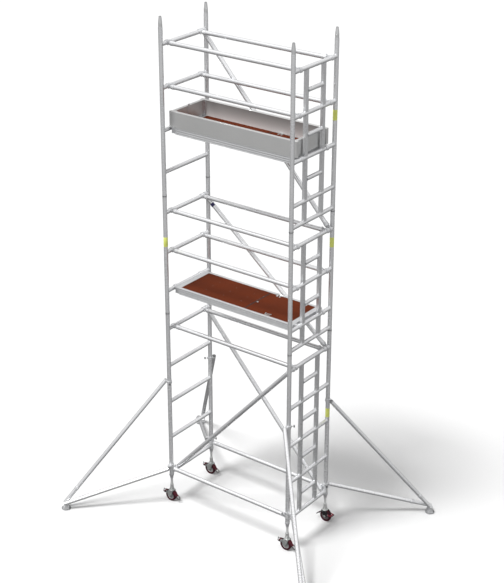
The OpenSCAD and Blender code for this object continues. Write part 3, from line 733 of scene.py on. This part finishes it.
toe_board_bolts()


# ------------------------------------------------------------------ castors
# wheel axle and brake pedal pivot, from the castor's swivel axis and the floor
AXLE_X, AXLE_Z, PIVOT = -15.0, 75.0, (-62.0, 112.0)
THREAD_FOOT, THREAD_PITCH, THREAD_TURNS = 252.0, 6.0, 62
THREAD_CORE, THREAD_CREST = 13.8, 14.9    # radii
TURNED = "br"    # the castor that stands turned round, with black cheeks and a red pedal


def castor_leg(corner, at):
    """Screwed leg: a turned head over the castor stem, then a trapezoidal thread."""
    shape = Shape(at)
    outline = [(8.4, 191), (19.5, 191), (22, 193.5), (22, 203), (20.6, 204.5), (20.6, 231), (22, 232.5),
               (22, 243), (19, 247.5), (THREAD_CORE, 249)]
    for k in range(THREAD_TURNS):
        z = THREAD_FOOT + THREAD_PITCH * k
        outline += [(THREAD_CORE, z), (THREAD_CREST, z + 1.2), (THREAD_CREST, z + 3.0),
                    (THREAD_CORE, z + 4.2)]
    outline += [(THREAD_CREST, 626), (THREAD_CREST, 766), (13.6, 768), (11.8, 768), (11.8, 262),
                (8.4, 258)]
    shape.lathe(outline, SCREW, spot(), 32, loop=True)
    shape.done("screw_leg_" + corner, "leg_" + corner, ["castor_leg_" + corner], angle=30)


def leg_nut(corner, at):
    """Tapered collar nut with six lugs."""
    shape = Shape(at)
    low, top = 333.5, 399.5
    outline = [(15.2, low + 1.4), (16.4, low), (18.2, low), (19.6, low + 1.6), (21.2, low + 24),
               (22.4, low + 30), (28, top - 23), (29, top - 20.5), (29, top - 2), (27.6, top),
               (16.2, top), (15.2, top - 1.2)]
    shape.lathe(outline, NUT, spot(), 48, loop=True)
    for k in range(6):
        shape.prism([(26, -4.6), (30.4, -3.6)] + arc(3.4, -80, 80, 6, 29.2, 0)
                    + [(30.4, 3.6), (26, 4.6)], 17, NUT, spot(z=top - 11, rz=60 * k))
    shape.done("collar_nut_" + corner, "nut_" + corner, ["leg_nut_" + corner], 0.8)


def castor_fork(corner, at):
    """Swivel head with its races, two pressed cheeks, a mudguard and the looped tail."""
    shape = Shape(at)
    swivel = [(0, 225), (6.4, 225), (8, 223), (8, 189.4), (23.6, 189.4), (25, 188), (25, 182),
              (23.4, 180.6), (23.4, 178.6), (25, 177.2), (25, 167), (26.5, 165), (38.4, 164),
              (39.8, 162.6), (40, 158), (36.5, 157.2), (34, 159.4), (0, 159.4)]
    shape.lathe(swivel, ZINC, spot(), 44)
    shape.lathe([(39.2, 158.4), (40, 158.8), (40, 160.6), (39.2, 161)], BLACK, spot(), 44, loop=True)
    for a in (45, 135, 225, 315):
        bolt(shape, spot(rz=a) @ spot(x=32, z=164.6), 3.4, 2.6)
    cheek = ([(36, 159), (-38, 159), (-70, 121), (-73, 112), (-69, 103.5)]
             + arc(19, 205, 345, 14, AXLE_X, AXLE_Z) + [(22, 110)])
    panel = ([(33, 156), (-35, 156), (-65, 120), (-67, 111)]
             + arc(17, 205, 345, 12, AXLE_X, AXLE_Z) + [(19, 109)])
    for side in (-1, 1):
        shape.prism(cheek, 4, BLACK, spot(y=side * 28) @ XZ)
        shape.prism(panel, 1.0, BLACK if corner == TURNED else ZINC, spot(y=side * 30.4) @ XZ)
        shape.lathe([(17, 0), (17, 1.6), (15.4, 2.4), (11, 2.4), (10, 1.2), (0, 1.2)], FORK,
                    spot(AXLE_X, side * 30, AXLE_Z, rx=-90 * side), 32)
        bolt(shape, spot(AXLE_X, side * 31.2, AXLE_Z, rx=-90 * side), 8.4, 4.6)
        rivet(shape, spot(PIVOT[0], side * 34.7, PIVOT[1], rx=-90 * side), 5.6)
        shape.lathe([(3.9, 0), (3.9, 8.7)], ZINC, spot(PIVOT[0], side * 26, PIVOT[1], rx=-90 * side), 16)
        for x, z in ((14, 146), (-24, 146), (20, 128)):
            rivet(shape, spot(x, side * 30.8, z, rx=-90 * side), 3.2)
    shape.lathe([(5.9, -30), (5.9, 30)], ZINC, spot(AXLE_X, 0, AXLE_Z, rx=90), 24)
    guard = arc(84, 12, 95, 20, AXLE_X, AXLE_Z) + arc(80, 95, 12, 20, AXLE_X, AXLE_Z)
    shape.prism(guard, 51.8, BLACK if corner == TURNED else WINE, XZ)
    tail = [(58, -20, 104), (78, -21, 91), (100, -21, 73), (112, -19, 62), (117, -12, 58), (118.5, 0, 57),
            (117, 12, 58), (112, 19, 62), (100, 21, 73), (78, 21, 91), (58, 20, 104)]
    shape.sweep(tail, 4.2, BLACK, seg=10)
    shape.prism([(61, 98), (66, 107), (88, 88), (84, 81)], 36, WINE, XZ)
    shape.done("castor_fork_%s_pressed" % corner, "castor_" + corner,
               ["castor_fork_" + corner], 0.7)


def castor_wheel(corner, at):
    """Tyre with a shallow groove round its tread, and a ribbed hub."""
    hub_at = at @ spot(AXLE_X, 0, AXLE_Z) @ TO_Y
    tyre = Shape(hub_at)
    half = [(52, 13), (54, 20.4), (58, 21.4), (68, 22), (72.4, 18.4), (74.4, 13.6), (75, 11), (75, 6.2),
            (73.4, 5.6), (73.4, 3.8), (75, 3.2)]
    tyre.lathe([(r, -y) for r, y in half] + [(r, y) for r, y in reversed(half)], TYRE, spot(), 72,
               loop=True)
    tyre.done("tyre_" + corner, "wheel_" + corner, ["castor_wheel_" + corner], angle=28)
    hub = Shape(hub_at)
    # the turned castor's hub is painted darker: painted shade on a mauve moulded hub
    coat = HUB_PAINTED_SHADE if corner == TURNED else ZINC
    half = [(6.3, 20.8), (16.6, 20.8), (18, 19.4), (18, 13.4), (21, 9.6), (45, 9), (48.6, 12.2),
            (52.2, 12.8)]
    hub.lathe([(r, -y) for r, y in half] + [(r, y) for r, y in reversed(half)], coat, spot(), 48,
              loop=True)
    for k in range(8):
        for side in (-1, 1):
            z0, z1 = sorted((side * 8, side * 12.6))
            hub.block((17, -2.2, z0), (47, 2.2, z1), coat, spot(rz=45 * k))
    for side in (-1, 1):
        hub.lathe([(6.3, 20.6), (6.3, 21.2), (13.4, 21.2), (14.2, 20.6)], ZINC,
                  spot(rx=0 if side > 0 else 180), 32)
    hub.done("wheel_hub_" + corner, "wheel_" + corner, bevel=0.5)


def brake_pedal(corner, at):
    """Two arms, a ribbed foot block and a wire loop with an upturned tip."""
    shape = Shape(at)
    px, pz = PIVOT
    coat, arm_coat = (RED, RED) if corner == TURNED else (WINE, BLACK)
    arm = arc(9, -60, 100, 14, px, pz) + [(-98, 112.5), (-108, 111), (-108, 100), (-98, 100), (-68, 103)]
    for side in (-1, 1):
        shape.prism(arm, 3.9, arm_coat, spot(y=side * 32.5) @ XZ)
    shape.prism([(-96, 99), (-96, 113), (-100, 115.5), (-110, 114.5), (-112, 110), (-109, 99.5)], 60.6,
                coat, XZ)
    for k in range(5):
        shape.block((-110, 12 * k - 26, 113), (-97, 12 * k - 22, 116.8), coat)
    loop = [(-106, -30, 106), (-117, -29, 109), (-124, -22, 111.5), (-126.6, -10, 112.6),
            (-127, 0, 113), (-126.6, 10, 112.6), (-124, 22, 111.5), (-117, 29, 109), (-106, 30, 106)]
    shape.sweep(loop, 3.6, BLACK, seg=10)
    shape.sweep([(-124, 0, 111), (-129, 0, 116), (-131, 0, 124), (-129.5, 0, 131)], 5.0, BLACK, seg=12)
    shape.done("brake_pedal_%s_loop" % corner, "pedal_" + corner,
               ["brake_pedal_" + corner], 0.8)


for corner, (sx, sy, _) in CORNERS.items():
    place = spot(sx * BAY, sy * WIDE, rz=180 if corner == TURNED else 0)
    castor_leg(corner, place)
    leg_nut(corner, place)
    castor_fork(corner, place)
    castor_wheel(corner, place)
    brake_pedal(corner, place)


# ------------------------------------------------------------------ stabilisers
REACH = (mid("stabiliser_foot_br").x - BAY) * math.sqrt(2)
# height of the foot pin, radius of the tubes, and their offset to the side at the clamps and the foot
FOOT_Z, STAB_R, CLAMP_SIDE, FOOT_SIDE = 86.0, 24.15, 53.55, 26.15
# strut and arm: height of the clamp, side of the upright, and both ends of the tube
CLAMPS = ((1708.0, -1, Vector((34, -CLAMP_SIDE, 1710)), Vector((REACH, -FOOT_SIDE, FOOT_Z))),
          (525.0, 1, Vector((42, CLAMP_SIDE, 497)), Vector((REACH, FOOT_SIDE, FOOT_Z))))


def along(start, direction):
    """Frame at start whose Z runs along direction."""
    return Matrix.Translation(start) @ direction.to_track_quat("Z", "X").to_matrix().to_4x4()


def stabiliser_details(corner, at):
    """Tube caps, adjustment sleeves with their spring buttons, clamp bolts and T grips."""
    shape = Shape(at)
    for z, side, start, end in CLAMPS:
        way = (end - start).normalized()
        r = STAB_R
        cap = [(r - 1, -1), (r + 0.4, -0.6), (r + 0.4, 1.6), (r - 1.2, 3.4), (0, 3.8)]
        shape.lathe(cap, PAD, along(start, -way), 32)
        shape.lathe(cap, PAD, along(end + 16 * way, way), 32)
        sleeve_at = along(end - 260 * way, way)
        sleeve = [(r - 0.3, 0), (r + 1.4, 0), (r + 1.9, 1), (r + 1.9, 46), (r + 1.4, 47), (r - 0.3, 47)]
        shape.lathe(sleeve, CAST, sleeve_at, 36, loop=True)
        for turn in (0, 180):
            shape.lathe([(5, 0), (5, 1.8), (4.2, 3.2), (2, 4), (0, 4.2)], DARK,
                        sleeve_at @ spot(z=24, rz=turn) @ spot(x=r + 1.6) @ TO_X, 20)
        ring = TUBE + 7.6
        for x in (16, 36):
            bolt(shape, spot(x, side * (CLAMP_SIDE + 7.8), z, rx=-90 * side), 5.0, 4.0)
        shape.lathe([(5.2, 0), (7.4, 0), (7.4, 5), (5.2, 5)], DARK,
                    spot(0, -side * (ring - 1.5), z, rx=90 * side), 24, loop=True)
        shape.lathe([(0, -16), (4.6, -15.6), (7.2, -13), (8, -9), (8, 9), (7.2, 13), (4.6, 15.6), (0, 16)],
                    DARK, spot(0, -side * (ring + 32), z), 24)
        for h in (-13, 13):
            band(shape, ring - 0.4, ring + 0.9, 2.4, 40, 320, CAST, spot(z=z + h))
    for side in (-1, 1):
        bolt(shape, spot(REACH, side * 58.3, FOOT_Z, rx=-90 * side), 7.4, 5.2)
    shape.done("stabiliser_%s_fittings" % corner, "stabiliser_" + corner, bevel=0.4)


def stabiliser_foot(corner, at):
    """Moulded pad with a grooved sole under a folded bracket."""
    shape = Shape(at @ spot(x=REACH))
    shape.lathe([(0, 1.6), (14, 1.6), (15, 0), (26, 0), (27, 1.6), (34, 1.6), (35, 0), (46, 0), (47, 1.6),
                 (51, 1.6), (52, 0), (56.4, 0), (58, 1.8), (58, 8), (56, 11), (50, 13.6), (44, 14),
                 (0, 14)], PAD, spot(), 56)
    shape.block((-34, -60, 14), (34, 60, 18), CAST)
    cheek = [(-30, 17.5), (30, 17.5), (26, 30)] + arc(15, 0, 180, 16, 0, FOOT_Z) + [(-26, 30)]
    for side in (-1, 1):
        shape.prism(cheek, 5, CAST, spot(y=side * 55.5) @ XZ)
        for x in (-22, 22):
            bolt(shape, spot(x, side * 38, 18), 5.4, 4.0)
    shape.done("stabiliser_foot_%s_pad" % corner, "foot_" + corner,
               ["stabiliser_foot_" + corner], 0.9)


for corner, (sx, sy, azimuth) in CORNERS.items():
    place = spot(sx * BAY, sy * WIDE, rz=azimuth)
    stabiliser_details(corner, place)
    stabiliser_foot(corner, place)


# ------------------------------------------------------------------ floor, light and camera
def floor():
    """Plain pale ground, far wider than the object, in metres."""
    size = 90.0
    mesh = bpy.data.meshes.new("floor")
    mesh.from_pydata([(-size, -size, 0), (size, -size, 0), (size, size, 0), (-size, size, 0)], [],
                     [(0, 1, 2, 3)])
    o = bpy.data.objects.new("floor", mesh)
    bpy.context.scene.collection.objects.link(o)
    paint = bpy.data.materials.new("studio_floor")
    paint.use_nodes = True
    bsdf = paint.node_tree.nodes["Principled BSDF"]
    bsdf.inputs["Base Color"].default_value = (0.80, 0.80, 0.80, 1)
    bsdf.inputs["Roughness"].default_value = 0.9
    bsdf.inputs["Specular IOR Level"].default_value = 0.1
    mesh.materials.append(paint)
    o.visible_diffuse = False
    o.visible_glossy = False
    o.visible_shadow = False


def studio_sky(soft, dark, bright, lean, span):
    """Even soft dome; in reflections it fades from bright to dark against the leaning direction."""
    world = bpy.data.worlds.new("studio")
    bpy.context.scene.world = world
    world.use_nodes = True
    nodes, links = world.node_tree.nodes, world.node_tree.links
    back = nodes["Background"]
    place = nodes.new("ShaderNodeTexCoord")
    dot = nodes.new("ShaderNodeVectorMath")
    dot.operation = "DOT_PRODUCT"
    dot.inputs[1].default_value = lean
    links.new(place.outputs["Generated"], dot.inputs[0])
    fade = nodes.new("ShaderNodeMapRange")
    fade.inputs["From Min"].default_value = span[0]
    fade.inputs["From Max"].default_value = span[1]
    fade.inputs["To Min"].default_value = dark
    fade.inputs["To Max"].default_value = bright
    links.new(dot.outputs["Value"], fade.inputs["Value"])
    path = nodes.new("ShaderNodeLightPath")
    gloss = nodes.new("ShaderNodeMix")
    gloss.inputs[2].default_value = soft
    links.new(path.outputs["Is Glossy Ray"], gloss.inputs[0])
    links.new(fade.outputs["Result"], gloss.inputs[3])
    seen = nodes.new("ShaderNodeMix")
    seen.inputs[3].default_value = 1.0
    links.new(path.outputs["Is Camera Ray"], seen.inputs[0])
    links.new(gloss.outputs[0], seen.inputs[2])
    back.inputs["Color"].default_value = (1.0, 1.0, 1.0, 1.0)
    links.new(seen.outputs[0], back.inputs["Strength"])


def key_light(travel, strength, softness):
    """Soft sun whose light travels along the given direction; softness is its width in degrees."""
    light = bpy.data.lights.new("key", "SUN")
    light.energy = strength
    light.angle = math.radians(softness)
    o = bpy.data.objects.new("key", light)
    o.rotation_euler = Vector(travel).to_track_quat("-Z", "Y").to_euler()
    bpy.context.scene.collection.objects.link(o)


def camera(azimuth, elevation, roll, distance, lens, aim):
    """Camera at a distance in metres from the point it aims at, with its angles in degrees."""
    a, e = math.radians(azimuth), math.radians(elevation)
    back = Vector((math.sin(a) * math.cos(e), -math.cos(a) * math.cos(e), math.sin(e)))
    data = bpy.data.cameras.new("camera")
    data.lens = lens
    data.sensor_width = 36.0
    data.clip_end = 500.0
    o = bpy.data.objects.new("camera", data)
    right = Vector((math.cos(a), math.sin(a), 0))
    turn = Matrix((right, back.cross(right), back)).transposed()
    turn = turn @ Matrix.Rotation(math.radians(roll), 3, "Z")
    o.matrix_world = Matrix.Translation(Vector(aim) + back * distance) @ turn.to_4x4()
    bpy.context.scene.collection.objects.link(o)
    bpy.context.scene.camera = o


floor()
studio_sky(soft=0.48, dark=0.12, bright=1.20, lean=(0.20, -0.15, 0.95), span=(-0.64, 0.80))
key_light(travel=(0.16, 0.46, -1.0), strength=3.0, softness=18.0)
camera(azimuth=37.09, elevation=24.918, roll=0.063, distance=17.0, lens=90.80, aim=(0.17, -0.14, 3.13))
bpy.context.scene.view_settings.view_transform = "Standard"
